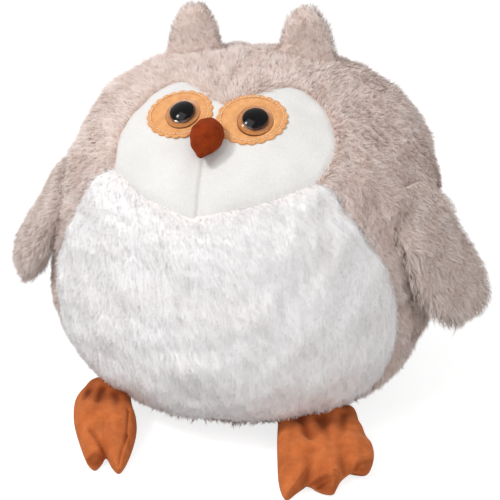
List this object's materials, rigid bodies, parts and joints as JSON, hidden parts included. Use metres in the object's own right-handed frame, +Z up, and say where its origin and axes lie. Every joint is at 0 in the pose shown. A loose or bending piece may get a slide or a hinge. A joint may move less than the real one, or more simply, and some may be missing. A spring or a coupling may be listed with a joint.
{
  "type": "plush owl",
  "caption": "Round stuffed plush owl with a heart-shaped face, scalloped eye patches, velour beak and feet, and wings, ears and feet sewn on so that they swing.",
  "frame": {"origin": "centre of the flat patch of the base that the owl sits on", "axes": "+Z up out of the seat, the owl faces -Y and its own left side is +X"},
  "size_m": [0.3782, 0.3139, 0.2873],
  "materials": {
    "taupe_plush": "long matt plush pile",
    "wing_plush": "long matt plush pile",
    "white_plush": "long matt plush pile",
    "face_plush": "short matt plush pile",
    "suede": "matt suede cloth with a scalloped edge",
    "foot_velour": "short pile velour with a slight sheen",
    "beak_velour": "short pile velour with a slight sheen",
    "stuffing": "loose polyester fibre",
    "pupil_plastic": "polished",
    "iris_plastic": "smooth",
    "lens_plastic": "polished and clear",
    "washer_nylon": "as moulded"
  },
  "bodies": {
    "body": {"body_filling": "stuffing", "belly_panel": "white_plush", "base_panel": "taupe_plush", "beak_cover": "beak_velour", "beak_filling": "stuffing", "head_panel_left": "taupe_plush", "head_panel_right": "taupe_plush", "back_panel_left": "taupe_plush", "back_panel_right": "taupe_plush", "face_panel_left": "face_plush", "face_panel_right": "face_plush", "eye_patch_left": "suede", "eye_patch_right": "suede", "eye_base_left": "iris_plastic", "eye_base_right": "iris_plastic", "eye_pupil_left": "pupil_plastic", "eye_pupil_right": "pupil_plastic", "eye_lens_left": "lens_plastic", "eye_lens_right": "lens_plastic", "eye_washer_left": "washer_nylon", "eye_washer_right": "washer_nylon"},
    "wing_left": {"wing_outer_left": "wing_plush", "wing_lining_left": "wing_plush", "wing_filling_left": "stuffing"},
    "wing_right": {"wing_outer_right": "wing_plush", "wing_lining_right": "wing_plush", "wing_filling_right": "stuffing"},
    "ear_left": {"ear_back_left": "taupe_plush", "ear_front_left": "taupe_plush", "ear_filling_left": "stuffing"},
    "ear_right": {"ear_back_right": "taupe_plush", "ear_front_right": "taupe_plush", "ear_filling_right": "stuffing"},
    "foot_left": {"foot_top_left": "foot_velour", "foot_sole_left": "foot_velour", "foot_filling_left": "stuffing"},
    "foot_right": {"foot_top_right": "foot_velour", "foot_sole_right": "foot_velour", "foot_filling_right": "stuffing"}
  },
  "joints": [
    {"name": "wing_left_swing", "type": "hinge", "parent": "body", "child": "wing_left", "pos_m": [0.13692, -0.03229, 0.16317], "axis": [-0.3974, -0.9176, 0], "range_deg": [0, 75]},
    {"name": "wing_right_swing", "type": "hinge", "parent": "body", "child": "wing_right", "pos_m": [-0.13692, -0.03229, 0.16317], "axis": [-0.3974, 0.9176, 0], "range_deg": [0, 75]},
    {"name": "ear_left_bend", "type": "hinge", "parent": "body", "child": "ear_left", "pos_m": [0.04556, 0.03815, 0.25599], "axis": [0.9871, -0.0008, -0.1603], "range_deg": [-20, 20], "stiffness_Nm_per_rad": 0.01},
    {"name": "ear_right_bend", "type": "hinge", "parent": "body", "child": "ear_right", "pos_m": [-0.04556, 0.03815, 0.25599], "axis": [0.9871, 0.0008, 0.1603], "range_deg": [-20, 20], "stiffness_Nm_per_rad": 0.01},
    {"name": "foot_left_flop", "type": "hinge", "parent": "body", "child": "foot_left", "pos_m": [0.07794, -0.08795, 0.01907], "axis": [-0.7874, -0.6164, 0], "range_deg": [-20, 25]},
    {"name": "foot_right_flop", "type": "hinge", "parent": "body", "child": "foot_right", "pos_m": [-0.07794, -0.08795, 0.01907], "axis": [-0.7874, 0.6164, 0], "range_deg": [-20, 25]}
  ]
}
